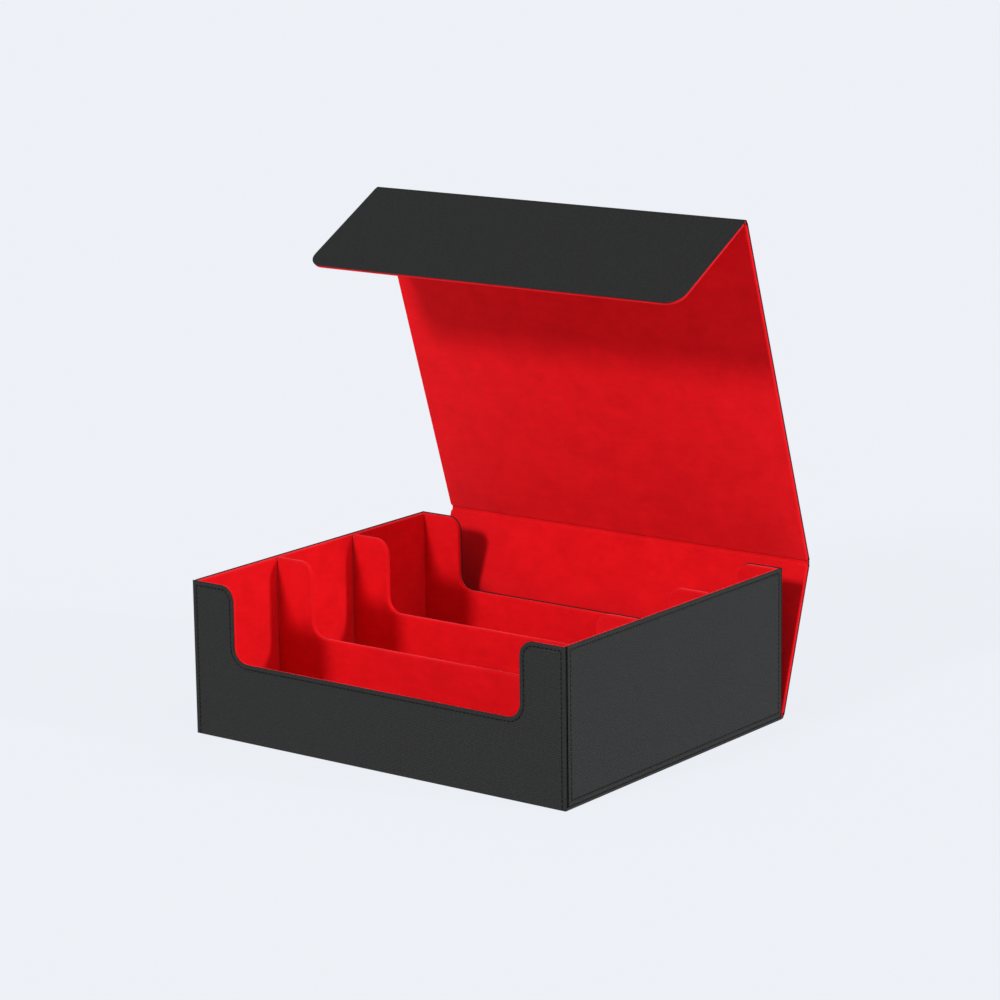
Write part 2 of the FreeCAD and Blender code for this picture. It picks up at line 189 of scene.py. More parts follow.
@dataclass(frozen=True)
class Outline:
    """The outline of a flat sheet, even about its own Y axis.

    A cut-down sheet has a cut-out between two tabs in its upper edge.
    """

    half: float
    low: float
    high: float
    near_radius: float = 0.0
    far_radius: float = 0.0
    tab: float = 0.0
    cut: float = 0.0
    tab_radius: float = 0.0
    cut_radius: float = 0.0
    arc_steps: int = 10

    def inset(self, distance: float) -> "Outline":
        """Return the outline moved inwards all round."""

        def tighter(radius: float) -> float:
            """Return an outer corner's radius after the move."""
            return max(radius - distance, 0.0) if radius else 0.0

        return Outline(
            half=self.half - distance,
            low=self.low + distance,
            high=self.high - distance,
            near_radius=tighter(self.near_radius),
            far_radius=tighter(self.far_radius),
            tab=self.tab + distance if self.tab else 0.0,
            cut=self.cut - distance,
            tab_radius=tighter(self.tab_radius) if self.tab else 0.0,
            cut_radius=self.cut_radius + distance,
        )

    def corners(self) -> list[tuple[Vector, float]]:
        """Return the corners with their radii, anticlockwise from the lower left."""
        half, low, high = self.half, self.low, self.high
        found = [(-half, low, self.near_radius), (half, low, self.near_radius)]
        found.append((half, high, self.far_radius))
        if self.tab:
            found.append((self.tab, high, self.tab_radius))
            found.append((self.tab, self.cut, self.cut_radius))
            found.append((-self.tab, self.cut, self.cut_radius))
            found.append((-self.tab, high, self.tab_radius))
        found.append((-half, high, self.far_radius))
        return [(Vector((x, y, 0.0)), radius) for x, y, radius in found]

    def walk(self, pitch: float) -> list[tuple[Vector, float]]:
        """Return evenly spaced points round the outline, each with the heading there.

        Args:
            pitch: The wanted distance between points, adjusted so that they close up.
        """
        line = []
        corners = self.corners()
        for index, (corner, radius) in enumerate(corners):
            came = (corner - corners[index - 1][0]).normalized()
            goes = (corners[(index + 1) % len(corners)][0] - corner).normalized()
            if radius <= 0.0:
                line.append(corner)
                continue
            centre = corner - came * radius + goes * radius
            for step in range(self.arc_steps + 1):
                angle = math.pi / 2 * step / self.arc_steps
                line.append(centre - goes * radius * math.cos(angle) + came * radius * math.sin(angle))
        line.append(line[0])
        lengths = [(b - a).length for a, b in zip(line, line[1:])]
        count = max(round(sum(lengths) / pitch), 1)
        even = sum(lengths) / count
        found, index, passed = [], 0, 0.0
        for number in range(count):
            distance = (number + 0.5) * even
            while passed + lengths[index] < distance:
                passed += lengths[index]
                index += 1
            way = (line[index + 1] - line[index]).normalized()
            found.append((line[index] + way * (distance - passed), math.atan2(way.y, way.x)))
        return found

    def draw(self, name: str) -> bpy.types.Object:
        """Draw the outline as one flat face that looks along +Z, and stay in edit mode."""
        deselect()
        middle = (self.low + self.high) / 2
        bpy.ops.mesh.primitive_plane_add(size=1.0, location=(0.0, middle, 0.0))
        piece = bpy.context.object
        piece.name = piece.data.name = name
        piece.scale = (2 * self.half, self.high - self.low, 1.0)
        bpy.ops.object.transform_apply(location=True, rotation=False, scale=True)
        edit(piece)
        if self.tab:
            self._cut_down()
        for corner, radius in self.corners():
            if radius > 0.0:
                pick(Element.VERTEX, lambda v, at=corner: (v.co - at).length < TOUCH)
                bpy.ops.mesh.bevel(offset=radius, segments=self.arc_steps, affect="VERTICES")
        bpy.ops.mesh.select_mode(type="FACE")
        bpy.ops.mesh.select_all(action="SELECT")
        return piece

    def _cut_down(self) -> None:
        """Cut the edited plane along the tabs and the cut-out's foot, and take the middle away."""
        cuts = [
            ((self.tab, 0, 0), (1, 0, 0)),
            ((-self.tab, 0, 0), (1, 0, 0)),
            ((0, self.cut, 0), (0, 1, 0)),
        ]
        for at, normal in cuts:
            bpy.ops.mesh.select_all(action="SELECT")
            bpy.ops.mesh.bisect(plane_co=at, plane_no=normal)

        def in_cut_out(item: bmesh.types.BMFace) -> bool:
            """Say whether a face lies between the tabs, above the cut-out's foot."""
            centre = item.calc_center_median()
            return abs(centre.x) < self.tab and centre.y > self.cut

        pick(Element.FACE, in_cut_out)
        bpy.ops.mesh.delete(type="FACE")
        bpy.ops.mesh.select_all(action="SELECT")
        bpy.ops.mesh.dissolve_limited(angle_limit=math.radians(1))


@dataclass(frozen=True)
class Rim:
    """How the edge of a sheet is rounded: the face side and the back side."""

    face_radius: float
    back_radius: float
    segments: int = 5


def face_edge(edge: bmesh.types.BMEdge) -> bool:
    """Say whether an edge bounds the flat face at local Z 0."""
    on_face = all(abs(vertex.co.z) < TOUCH for vertex in edge.verts)
    return on_face and any(abs(side.normal.z) < SIDE_ON for side in edge.link_faces)


def back_edge(depth: float) -> Callable[[bmesh.types.BMEdge], bool]:
    """Return a test for the outer edges of the flat back at local Z -depth."""

    def test(edge: bmesh.types.BMEdge) -> bool:
        """Say whether an edge bounds the back."""
        at_back = all(abs(vertex.co.z + depth) < TOUCH for vertex in edge.verts)
        beside = [side for side in edge.link_faces if abs(side.normal.z) < SIDE_ON]
        return at_back and any(side.calc_center_median().z > -depth + TOUCH for side in beside)

    return test


def wrap_board(
    name: str, outline: Outline, depth: float, skin: float, bare: float, rim: Rim
) -> bpy.types.Object:
    """Model suede that covers a board's face and folds over its edges.

    Args:
        name: The piece's name.
        outline: The covered board's outline.
        depth: Thickness from the suede's face to the far side of the board.
        skin: The suede's own thickness.
        bare: Depth of the seat that holds the board, from the far side.
        rim: How the edges are rounded.

    Returns:
        The piece, with its face at Z 0 of its own frame, facing +Z.
    """
    piece = outline.draw(name)
    lift(-depth)
    bpy.ops.mesh.inset(thickness=skin, use_even_offset=True)
    lift(bare)
    face_out()
    round_edges(rim.face_radius, rim.segments, face_edge)
    return piece


def sleeve_board(name: str, outline: Outline, depth: float, skin: float, rim: Rim) -> bpy.types.Object:
    """Model suede that covers both faces of a board and its edges, with the board's room inside."""
    piece = outline.draw(name)
    lift(-depth)
    face_out()
    round_edges(rim.face_radius, rim.segments, face_edge)
    room = outline.inset(skin).draw(name + "_room")
    bpy.ops.transform.translate(value=(0.0, 0.0, -skin))
    lift(2 * skin - depth)
    bpy.ops.mesh.select_all(action="SELECT")
    bpy.ops.mesh.normals_make_consistent(inside=True)
    edit(piece)
    round_edges(rim.back_radius, rim.segments, back_edge(depth))
    deselect()
    room.select_set(True)
    piece.select_set(True)
    bpy.context.view_layer.objects.active = piece
    bpy.ops.object.join()
    return piece


@dataclass(frozen=True)
class Border:
    """A turned and stitched leather border, from the edge inwards, as steps of (inset, rise).

    A border that is open at the foot runs down past the sheet's lower edge, where it is cut off. A slit
    is a thin strip that runs on past one upright side edge, on the side that its sign says.
    """

    foot: float = 0.45 * MM
    roll: tuple[tuple[float, float], ...] = (
        (0.10 * MM, 0.18 * MM),
        (0.22 * MM, 0.13 * MM),
        (0.42 * MM, 0.08 * MM),
    )
    groove: tuple[tuple[float, float], ...] = (
        (0.75 * MM, 0.03 * MM),
        (0.60 * MM, -0.06 * MM),
        (0.32 * MM, -0.22 * MM),
        (0.20 * MM, -0.22 * MM),
        (0.60 * MM, 0.00 * MM),
        (0.20 * MM, 0.22 * MM),
        (0.32 * MM, 0.16 * MM),
        (0.60 * MM, 0.04 * MM),
    )
    stitched: bool = True
    open_foot: bool = False
    overrun: float = 6.0 * MM
    seam: float = 2.91 * MM
    seam_height: float = 0.43 * MM
    slit: float = 0.0
    slit_height: float = 0.06 * MM

    def line(self, outline: Outline) -> Outline:
        """Return the line that the stitches follow on a sheet."""
        low = outline.low - self.overrun if self.open_foot else outline.low
        return replace(outline, low=low).inset(self.seam)


def skin_board(name: str, outline: Outline, border: Border) -> bpy.types.Object:
    """Model a leather sheet with a turned border, its back at Z 0 of its own frame.

    Args:
        name: The piece's name.
        outline: The outline of the rolled sheet, without the border's slit strip. Its rounded corners
            are wider than the border.
        border: The border's section.
    """
    low = outline.low - border.overrun if border.open_foot else outline.low
    piece = replace(outline, low=low).draw(name)
    lift(border.slit_height)
    lift(border.foot - border.slit_height)
    for inset, rise in border.roll + (border.groove if border.stitched else ()):
        bpy.ops.mesh.inset(thickness=inset, depth=rise, use_even_offset=True)
    if border.open_foot:
        bpy.ops.mesh.select_all(action="SELECT")
        cut = (0.0, outline.low, 0.0)
        bpy.ops.mesh.bisect(plane_co=cut, plane_no=(0, 1, 0), use_fill=True, clear_inner=True)
    if border.slit:
        side = math.copysign(1.0, border.slit)

        def at_foot(item: bmesh.types.BMFace) -> bool:
            """Say whether a face is the low strip that the slit is drawn from."""
            centre = item.calc_center_median()
            low_down = TOUCH / 10 < centre.z < border.slit_height
            return low_down and centre.x * side > outline.half - TOUCH and abs(item.normal.x) > 0.9

        pick(Element.FACE, at_foot)
        bpy.ops.mesh.extrude_region_move(TRANSFORM_OT_translate={"value": (border.slit, 0.0, 0.0)})
    face_out()
    return piece


@dataclass
class Stitching:
    """A seam of separate stitches laid in a leather border's groove."""

    pitch: float = 3.0 * MM
    length: float = 2.35 * MM
    width: float = 0.75 * MM
    height: float = 0.55 * MM
    slant: float = math.radians(7)

    def stitch(self) -> bpy.types.Object:
        """Model one stitch: a thread that dips into the leather at both ends."""
        deselect()
        bpy.ops.mesh.primitive_uv_sphere_add(segments=6, ring_count=6, radius=0.5)
        thread = bpy.context.object
        edit(thread)
        bpy.ops.transform.rotate(value=math.pi / 2, orient_axis="Y", center_override=(0.0, 0.0, 0.0))
        pick(Element.VERTEX, lambda v: abs(v.co.x) < 0.3)
        bpy.ops.transform.resize(value=(1.25, 1.0, 1.0), center_override=(0.0, 0.0, 0.0))
        pick(Element.VERTEX, lambda v: abs(v.co.x) > 0.4)
        bpy.ops.transform.translate(value=(0.0, 0.0, -0.35))
        take(thread)
        thread.scale = (self.length, self.width, self.height)
        bpy.ops.object.transform_apply(location=False, rotation=False, scale=True)
        return thread

    def sew(self, name: str, outline: Outline, border: Border, place: Matrix) -> bpy.types.Object:
        """Sew a seam round a bordered sheet.

        Args:
            name: The piece's name.
            outline: The sheet's outline.
            border: The sheet's border, which says where its groove is.
            place: Where the sheet stands.

        Returns:
            All the stitches as one piece.
        """
        thread = self.stitch()
        stitches = []
        for point, heading in border.line(outline).walk(self.pitch):
            if border.open_foot and point.y < outline.low:
                continue
            copy = thread.copy()
            copy.data = thread.data.copy()
            bpy.context.scene.collection.objects.link(copy)
            spot = Matrix.Translation(point + UP * border.seam_height)
            copy.matrix_world = place @ spot @ Matrix.Rotation(heading + self.slant, 4, "Z")
            stitches.append(copy)
        bpy.data.objects.remove(thread)
        deselect()
        for copy in stitches:
            copy.select_set(True)
        seam = stitches[0]
        bpy.context.view_layer.objects.active = seam
        bpy.ops.object.join()
        seam.name = seam.data.name = name
        bpy.ops.object.transform_apply(location=True, rotation=True, scale=True)
        bpy.ops.object.shade_smooth()
        return seam


# ---------------------------------------------------------------- finishes


def new_material(name: str) -> tuple[bpy.types.Material, bpy.types.NodeTree, bpy.types.Node]:
    """Return a new node material with its node tree and its shader."""
    material = bpy.data.materials.new(name)
    material.use_nodes = True
    tree = material.node_tree
    return material, tree, tree.nodes["Principled BSDF"]


def add_node(tree: bpy.types.NodeTree, kind: str, **values: object) -> bpy.types.Node:
    """Add a node and set its properties and, by their names in title case, its inputs."""
    made = tree.nodes.new(kind)
    for key, setting in values.items():
        if hasattr(made, key):
            setattr(made, key, setting)
        else:
            made.inputs[key.replace("_", " ").title()].default_value = setting
    return made


def grain_place(
    tree: bpy.types.NodeTree, scale: tuple[float, float, float], turn: float = 0.0
) -> bpy.types.NodeSocket:
    """Return the grain map's coordinates, turned and scaled."""
    source = add_node(tree, "ShaderNodeUVMap", uv_map=GRAIN_MAP)
    mapping = add_node(tree, "ShaderNodeMapping")
    mapping.inputs["Scale"].default_value = scale
    mapping.inputs["Rotation"].default_value = (0.0, 0.0, turn)
    tree.links.new(source.outputs["UV"], mapping.inputs["Vector"])
    return mapping.outputs["Vector"]


def object_place(tree: bpy.types.NodeTree) -> bpy.types.NodeSocket:
    """Return the piece's own coordinates."""
    return add_node(tree, "ShaderNodeTexCoord").outputs["Object"]


def noise(
    tree: bpy.types.NodeTree, place: bpy.types.NodeSocket, scale: float, **values: object
) -> bpy.types.NodeSocket:
    """Return a noise pattern's value."""
    made = add_node(tree, "ShaderNodeTexNoise", scale=scale, **values)
    tree.links.new(place, made.inputs["Vector"])
    return made.outputs["Fac"]


def blend_values(
    tree: bpy.types.NodeTree, operation: str, first: object, second: object
) -> bpy.types.NodeSocket:
    """Return a math node's result; each input is a socket or a number."""
    made = add_node(tree, "ShaderNodeMath", operation=operation)
    for index, given in enumerate((first, second)):
        if isinstance(given, bpy.types.NodeSocket):
            tree.links.new(given, made.inputs[index])
        else:
            made.inputs[index].default_value = given
    return made.outputs["Value"]


def weigh(tree: bpy.types.NodeTree, *parts: tuple[bpy.types.NodeSocket, float]) -> bpy.types.NodeSocket:
    """Return the sum of values, each multiplied by its weight."""
    total = None
    for value, weight in parts:
        share = blend_values(tree, "MULTIPLY", value, weight)
        total = share if total is None else blend_values(tree, "ADD", total, share)
    return total


def stretch(
    tree: bpy.types.NodeTree, value: bpy.types.NodeSocket, span: float, start: float
) -> bpy.types.NodeSocket:
    """Return a value from 0 to 1 stretched over a span that begins at a start."""
    made = blend_values(tree, "MULTIPLY_ADD", value, span)
    made.node.inputs[2].default_value = start
    return made


def ramp(
    tree: bpy.types.NodeTree, value: bpy.types.NodeSocket, stops: Iterable[tuple]
) -> bpy.types.NodeSocket:
    """Return a colour ramp's colour; each stop is a place and a colour."""
    made = add_node(tree, "ShaderNodeValToRGB")
    steps = made.color_ramp.elements
    for index, (at, colour) in enumerate(stops):
        step = steps[index] if index < 2 else steps.new(at)
        step.position = at
        step.color = (*colour, 1.0)
    tree.links.new(value, made.inputs["Fac"])
    return made.outputs["Color"]


def bump(
    tree: bpy.types.NodeTree,
    height: bpy.types.NodeSocket,
    depth: float,
    under: Optional[bpy.types.NodeSocket] = None,
) -> bpy.types.NodeSocket:
    """Return a normal bumped by a height from 0 to 1, at a depth in metres."""
    made = add_node(tree, "ShaderNodeBump", strength=1.0, distance=depth)
    tree.links.new(height, made.inputs["Height"])
    if under:
        tree.links.new(under, made.inputs["Normal"])
    return made.outputs["Normal"]


@dataclass(frozen=True)
class Leather:
    """Black coated leather with a fine cross grain, painted black on faces marked for painted shade."""

    name: str = "black leather"
    dark: tuple[float, float, float] = (0.007, 0.007, 0.007)
    light: tuple[float, float, float] = (0.020, 0.020, 0.0195)

    def make(self) -> bpy.types.Material:
        """Make the material."""
        material, tree, shader = new_material(self.name)
        dashes = noise(tree, grain_place(tree, (600.0, 1400.0, 900.0)), 1.0, detail=1.0)
        weft = self.ribs(tree, "Y", 310.0)
        warp = self.ribs(tree, "X", 340.0)
        weave = blend_values(tree, "MULTIPLY", weft, stretch(tree, warp, 0.5, 0.5))
        grain = weigh(tree, (weave, 0.45), (dashes, 0.65))
        pores = noise(tree, object_place(tree), 2600.0, detail=2.0)
        cloud = noise(tree, object_place(tree), 18.0, detail=4.0, roughness=0.6)
        mixed = weigh(tree, (grain, 0.92), (cloud, 0.08))
        colour = ramp(tree, mixed, ((0.36, self.dark), (0.60, self.light)))
        # Painted shade: faces marked with the painted-shade attribute have their colour mixed to black.
        painted_shade = add_node(tree, "ShaderNodeAttribute", attribute_name=PAINTED_SHADE)
        shade = add_node(tree, "ShaderNodeMix", data_type="RGBA")
        shade.inputs[7].default_value = (0.0, 0.0, 0.0, 1.0)
        tree.links.new(painted_shade.outputs["Fac"], shade.inputs["Factor"])
        tree.links.new(colour, shade.inputs[6])
        tree.links.new(shade.outputs[2], shader.inputs["Base Color"])
        tree.links.new(stretch(tree, cloud, 0.16, 0.48), shader.inputs["Roughness"])
        under = bump(tree, pores, 0.03 * MM)
        tree.links.new(bump(tree, grain, 0.40 * MM, under), shader.inputs["Normal"])
        shader.inputs["Specular IOR Level"].default_value = 0.2
        return material

    @staticmethod
    def ribs(tree: bpy.types.NodeTree, direction: str, scale: float) -> bpy.types.NodeSocket:
        """Return one set of the cross grain's fine, uneven ribs."""
        made = add_node(tree, "ShaderNodeTexWave", bands_direction=direction, scale=scale)
        made.inputs["Distortion"].default_value = 1.6
        made.inputs["Detail"].default_value = 1.0
        made.inputs["Detail Scale"].default_value = 0.6
        tree.links.new(grain_place(tree, (1.0, 1.0, 1.0)), made.inputs["Vector"])
        return made.outputs["Fac"]


@dataclass(frozen=True)
class Suede:
    """Red suede with a brushed nap."""

    name: str = "red suede"
    shaded: tuple[float, float, float] = (0.60, 0.0035, 0.0070)
    brushed: tuple[float, float, float] = (0.76, 0.0060, 0.0100)

    def make(self) -> bpy.types.Material:
        """Make the material."""
        material, tree, shader = new_material(self.name)
        place = object_place(tree)
        clouds = noise(tree, place, 55.0, detail=5.0, roughness=0.65, distortion=0.4)
        along_nap = grain_place(tree, (60.0, 170.0, 60.0), 0.25)
        strokes = noise(tree, along_nap, 1.0, detail=4.0, roughness=0.65, distortion=0.8)
        fibres = noise(tree, place, 2200.0, detail=3.0, roughness=0.7)
        nap = weigh(tree, (clouds, 0.5), (strokes, 0.3), (fibres, 0.2))
        colour = ramp(tree, nap, ((0.30, self.shaded), (0.62, self.brushed)))
        tree.links.new(colour, shader.inputs["Base Color"])
        shader.inputs["Roughness"].default_value = 0.95
        shader.inputs["Specular IOR Level"].default_value = 0.06
        shader.inputs["Sheen Weight"].default_value = 0.45
        shader.inputs["Sheen Roughness"].default_value = 0.40
        shader.inputs["Sheen Tint"].default_value = (1.0, 0.20, 0.24, 1.0)
        under = bump(tree, clouds, 0.15 * MM)
        tree.links.new(bump(tree, fibres, 0.10 * MM, under), shader.inputs["Normal"])
        return material


@dataclass(frozen=True)
class Thread:
    """Black polyester sewing thread, twisted."""

    name: str = "black thread"
    colour: tuple[float, float, float] = (0.004, 0.004, 0.004)

    def make(self) -> bpy.types.Material:
        """Make the material."""
        material, tree, shader = new_material(self.name)
        strands = noise(tree, object_place(tree), 5200.0, detail=1.0)
        light = tuple(3.0 * channel for channel in self.colour)
        tree.links.new(ramp(tree, strands, ((0.35, self.colour), (0.75, light))), shader.inputs["Base Color"])
        tree.links.new(bump(tree, strands, 0.05 * MM), shader.inputs["Normal"])
        shader.inputs["Roughness"].default_value = 0.7
        shader.inputs["Specular IOR Level"].default_value = 0.08
        return material


@dataclass(frozen=True)
class Greyboard:
    """Recycled greyboard with flecks."""

    name: str = "greyboard"
    pulp: tuple[float, float, float] = (0.30, 0.27, 0.23)
    fleck: tuple[float, float, float] = (0.46, 0.42, 0.37)

    def make(self) -> bpy.types.Material:
        """Make the material."""
        material, tree, shader = new_material(self.name)
        flecks = noise(tree, object_place(tree), 900.0, detail=4.0, roughness=0.7)
        colour = ramp(tree, flecks, ((0.40, self.pulp), (0.66, self.fleck)))
        tree.links.new(colour, shader.inputs["Base Color"])
        tree.links.new(bump(tree, flecks, 0.08 * MM), shader.inputs["Normal"])
        shader.inputs["Roughness"].default_value = 0.9
        return material


@dataclass(frozen=True)
class Nickel:
    """Nickel-plated magnet, lightly scuffed."""

    name: str = "magnet nickel"
    scuffed: tuple[float, float, float] = (0.50, 0.50, 0.51)
    bright: tuple[float, float, float] = (0.68, 0.68, 0.70)

    def make(self) -> bpy.types.Material:
        """Make the material."""
        material, tree, shader = new_material(self.name)
        scuffs = noise(tree, object_place(tree), 1500.0, detail=5.0)
        colour = ramp(tree, scuffs, ((0.3, self.scuffed), (0.7, self.bright)))
        tree.links.new(colour, shader.inputs["Base Color"])
        tree.links.new(stretch(tree, scuffs, 0.3, 0.2), shader.inputs["Roughness"])
        shader.inputs["Metallic"].default_value = 1.0
        return material


class Slot(Enum):
    """The record's material slots."""

    LEATHER = "black_leather"
    SUEDE = "red_suede"
    BOARD = "greyboard"
    THREAD = "black_thread"
    MAGNET = "magnet"


FINISHES = {
    Slot.LEATHER: Leather(),
    Slot.SUEDE: Suede(),
    Slot.BOARD: Greyboard(),
    Slot.THREAD: Thread(),
    Slot.MAGNET: Nickel(),
}


@dataclass
class Finisher:
    """Gives pieces the finish of their slot and hides the CAD nodes that they stand for."""

    made: dict[Slot, bpy.types.Material] = field(default_factory=dict)

    def material(self, slot: Slot) -> bpy.types.Material:
        """Return a slot's material, made when it is first asked for."""
        if slot not in self.made:
            self.made[slot] = FINISHES[slot].make()
        return self.made[slot]

    def dress(self, piece: bpy.types.Object, slot: Slot, *nodes: str) -> bpy.types.Object:
        """Give a piece its finish and hide the CAD nodes that it stands for."""
        piece.data.materials.clear()
        piece.data.materials.append(self.material(slot))
        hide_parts(*nodes)
        log.info("%s: %d faces", piece.name, len(piece.data.polygons))
        return piece

    def dress_frame(self) -> None:
        """Give the CAD nodes that stay, the boards and the magnets, their finishes."""
        for name, node in frame["nodes"].items():
            if name.endswith(("_board", "_magnets")):
                slot = Slot.BOARD if name.endswith("_board") else Slot.MAGNET
                node.data.materials.clear()
                node.data.materials.append(self.material(slot))
                log.info("%s: CAD piece in %s", name, slot.value)


# ---------------------------------------------------------------- tray


@dataclass
class Tray:
    """The tray: its walls, floor, dividers and base."""

    finisher: Finisher
    end_border: Border = Border(open_foot=True)
    plain_border: Border = Border(stitched=False)
    side_border: Border = Border(slit=2.4 * MM)
    stitching: Stitching = field(default_factory=Stitching)
    lip: float = 0.30 * MM
    rim_drop: float = 0.25 * MM
    tab_width: float = 33.0 * MM
    cut_height: float = 51.0 * MM
    tab_radius: float = 10.0 * MM
    cut_radius: float = 10.0 * MM
    suede: float = 0.8 * MM
    leather: float = 0.8 * MM
    rim: Rim = Rim(face_radius=1.3 * MM, back_radius=0.35 * MM)
    sleeve_rim: Rim = Rim(face_radius=1.5 * MM, back_radius=1.5 * MM)
    slab_radius: float = 0.7 * MM
    floor_radius: float = 0.3 * MM

    def __post_init__(self) -> None:
        """Read the tray's box from the frame."""
        self.outer_low, self.outer_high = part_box("front_wall_leather")
        self.side = self.outer_high.x
        self.top = self.outer_high.z

    def cut_down(self, half: float, low: float) -> Outline:
        """Return a wall's outline, cut down in the middle."""
        return Outline(
            half=half,
            low=low,
            high=self.top,
            tab=self.side - self.tab_width,
            cut=self.cut_height,
            tab_radius=self.tab_radius,
            cut_radius=self.cut_radius,
        )

    def end_wall(self, name: str, outward: Vector, stitched: bool) -> None:
        """Build the front or back wall's suede and leather, and its seam if it has one."""
        low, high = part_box(f"{name}_lining")
        depth = high.y - low.y
        face = low.y if outward.y > 0 else high.y
        outline = self.lower(self.cut_down(high.x, low.z))
        lining = wrap_board(f"{name}_suede", outline, depth, self.seat, depth - self.suede, self.rim)
        finish_mesh(lining, stand(Vector((0.0, face, 0.0)), UP, -outward))
        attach(self.finisher.dress(lining, Slot.SUEDE, f"{name}_lining"), "tray")

        low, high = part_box(f"{name}_leather")
        back = low.y if outward.y > 0 else high.y
        outline = self.cut_down(high.x, low.z)
        place = stand(Vector((0.0, back, 0.0)), UP, outward)
        self.skin(name, outline, self.end_border if stitched else self.plain_border, place)

    @property
    def seat(self) -> float:
        """How far the board's seat is in from the suede's lowered rim."""
        return self.suede - self.rim_drop

    def lower(self, outline: Outline) -> Outline:
        """Return a wall's outline with the rim lowered, so that the leather stands above it."""
        return replace(outline.inset(self.rim_drop), half=outline.half, low=outline.low)

    def skin(self, name: str, outline: Outline, border: Border, place: Matrix) -> None:
        """Build a wall's bordered leather, a little above the suede's rim, and its stitches."""
        raised = outline.inset(-self.lip)
        outline = replace(raised, half=outline.half - abs(border.slit) / 2, low=outline.low)
        place = place @ Matrix.Translation((-border.slit / 2, 0.0, 0.0))
        leather = skin_board(f"{name}_skin", outline, border)
        # Painted shade: the slit strip and the sheet's edge faces are painted black.
        mark_painted_shade(leather, lambda at, normal: abs(at.x) > outline.half or abs(normal.z) < 0.3)
        finish_mesh(leather, place)
        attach(self.finisher.dress(leather, Slot.LEATHER, f"{name}_leather"), "tray")
        if border.stitched:
            seam = self.stitching.sew(f"{name}_stitches", outline, border, place)
            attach(self.finisher.dress(seam, Slot.THREAD, f"{name}_thread"), "tray")

    def side_wall(self, name: str, outward: Vector) -> None:
        """Build a side wall's suede, leather and seam."""
        low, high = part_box(f"{name}_lining")
        depth = high.x - low.x
        face = low.x if outward.x > 0 else high.x
        outline = self.lower(Outline(half=high.y, low=low.z, high=high.z))
        lining = wrap_board(f"{name}_suede", outline, depth, self.seat, depth - self.suede, self.rim)
        finish_mesh(lining, stand(Vector((face, 0.0, 0.0)), UP, -outward))
        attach(self.finisher.dress(lining, Slot.SUEDE, f"{name}_lining"), "tray")

        low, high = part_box(f"{name}_leather")
        back = low.x if outward.x > 0 else high.x
        outline = Outline(half=high.y, low=low.z, high=high.z)
        border = replace(self.side_border, slit=-math.copysign(self.side_border.slit, outward.x))
        self.skin(name, outline, border, stand(Vector((back, 0.0, 0.0)), UP, outward))

    def divider(self, name: str) -> None:
        """Build a divider's suede sleeve."""
        low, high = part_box(f"{name}_lining")
        outline = self.cut_down(high.x, low.z)
        sleeve = sleeve_board(f"{name}_suede", outline, high.y - low.y, self.suede, self.sleeve_rim)
        finish_mesh(sleeve, stand(Vector((0.0, low.y, 0.0)), UP, Vector((0.0, -1.0, 0.0))))
        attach(self.finisher.dress(sleeve, Slot.SUEDE, f"{name}_lining"), "tray")

    def floor(self) -> None:
        """Build the floor's suede."""
        low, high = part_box("floor_lining")
        outline = Outline(half=high.x, low=low.y, high=high.y)
        piece = outline.draw("floor_suede")
        lift(low.z - high.z)
        face_out()
        round_edges(self.floor_radius, 3, face_edge)
        finish_mesh(piece, stand(Vector((0.0, 0.0, high.z)), Vector((0.0, 1.0, 0.0)), UP))
        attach(self.finisher.dress(piece, Slot.SUEDE, "floor_lining"), "tray")

    def base(self) -> None:
        """Build the base panel's leather: the underside with a turned-up rib along each side."""
        low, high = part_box("base_leather")
        board_low, board_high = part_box("base_board")
        outline = Outline(half=high.x, low=low.y, high=high.y)
        piece = outline.draw("base_skin")
        lift(self.leather)
        ribs = [
            ((board_high.x, 0, 0), (1, 0, 0)),
            ((board_low.x, 0, 0), (1, 0, 0)),
            ((0, board_low.y, 0), (0, 1, 0)),
        ]
        for at, normal in ribs:
            bpy.ops.mesh.select_all(action="SELECT")
            bpy.ops.mesh.bisect(plane_co=at, plane_no=normal)

        def rib_face(item: bmesh.types.BMFace) -> bool:
            """Say whether a face is the top of one of the side ribs."""
            centre = item.calc_center_median()
            on_top = abs(centre.z - self.leather) < TOUCH and abs(item.normal.z) > SIDE_ON
            return on_top and abs(centre.x) > board_high.x and centre.y > board_low.y

        pick(Element.FACE, rib_face)
        lift(high.z - low.z - self.leather)
        face_out()

        def outer_edge(edge: bmesh.types.BMEdge) -> bool:
            """Say whether an edge is on the slab's outside, below or along a rib's top."""
            ends = [vertex.co for vertex in edge.verts]
            at_foot = all(abs(end.z) < TOUCH for end in ends)
            on_side = all(abs(abs(end.x) - high.x) < TOUCH for end in ends)
            on_front = all(abs(end.y - low.y) < TOUCH for end in ends)
            along_top = all(end.z > self.leather + TOUCH for end in ends)
            return (at_foot and (on_side or on_front)) or (along_top and on_side)

        round_edges(self.slab_radius, 4, outer_edge)
        deselect()
        # Painted shade: the rib tops, where the walls stand on them, are painted black.
        mark_painted_shade(piece, lambda at, _: at.z > high.z - self.slab_radius)
        finish_mesh(piece, Matrix.Identity(4))
        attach(self.finisher.dress(piece, Slot.LEATHER, "base_leather"), "tray")

    def build(self) -> None:
        """Build every piece of the tray."""
        self.base()
        self.floor()
        self.end_wall("front_wall", Vector((0.0, -1.0, 0.0)), stitched=True)
        self.end_wall("back_wall", Vector((0.0, 1.0, 0.0)), stitched=False)
        self.side_wall("left_wall", Vector((-1.0, 0.0, 0.0)))
        self.side_wall("right_wall", Vector((1.0, 0.0, 0.0)))
        self.divider("front_divider")
        self.divider("rear_divider")


# ---------------------------------------------------------------- cover


